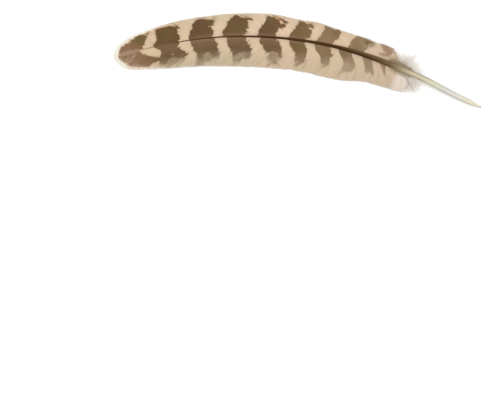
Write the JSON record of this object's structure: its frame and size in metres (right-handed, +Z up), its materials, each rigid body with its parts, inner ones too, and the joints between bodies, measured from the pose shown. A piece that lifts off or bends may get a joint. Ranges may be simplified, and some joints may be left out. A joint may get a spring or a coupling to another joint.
{
  "type": "pheasant wing quill",
  "caption": "Barred brown and cream pheasant wing feather with a pale quill, lying on its flat side with its upper face up.",
  "frame": {"origin": "on the surface that the feather lies on, under the centre of its bounding box", "axes": "+X from the tip of the vane towards the end of the quill, +Y towards the narrow outer vane, +Z up from the surface, on the side of the feather's upper face"},
  "size_m": [0.1778, 0.0458, 0.0059],
  "materials": {
    "vane": "satin",
    "shaft": "horny sheen",
    "down": "matte"
  },
  "bodies": {
    "root": {"feather": "vane"}
  },
  "joints": []
}
